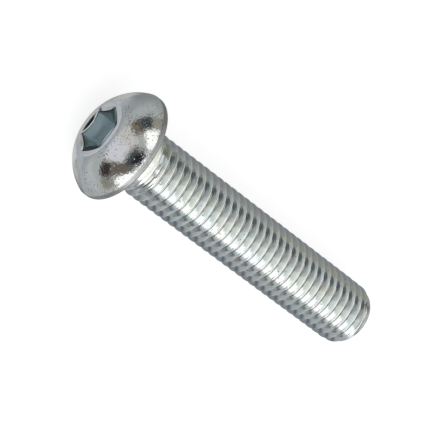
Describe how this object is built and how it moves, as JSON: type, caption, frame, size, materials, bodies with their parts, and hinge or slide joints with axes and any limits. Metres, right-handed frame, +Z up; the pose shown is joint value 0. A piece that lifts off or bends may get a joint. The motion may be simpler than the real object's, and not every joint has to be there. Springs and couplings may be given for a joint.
{
  "type": "button head socket screw",
  "caption": "Screw with a low domed button head, a hexagon socket for the key, and a right hand metric thread that runs nearly up to the head.",
  "frame": {"origin": "middle of the lying screw's footprint, on the surface that it rests on", "axes": "+X along the screw, head at -X and point at +X; +Z up; the screw's own axis falls 4.3 degrees from the head to the point, because it lies on head and thread"},
  "size_m": [0.0668, 0.0206, 0.0205],
  "materials": {
    "zinc_plated_steel": "bright zinc plating"
  },
  "bodies": {
    "root": {"socket_screw": "zinc_plated_steel"}
  },
  "joints": []
}
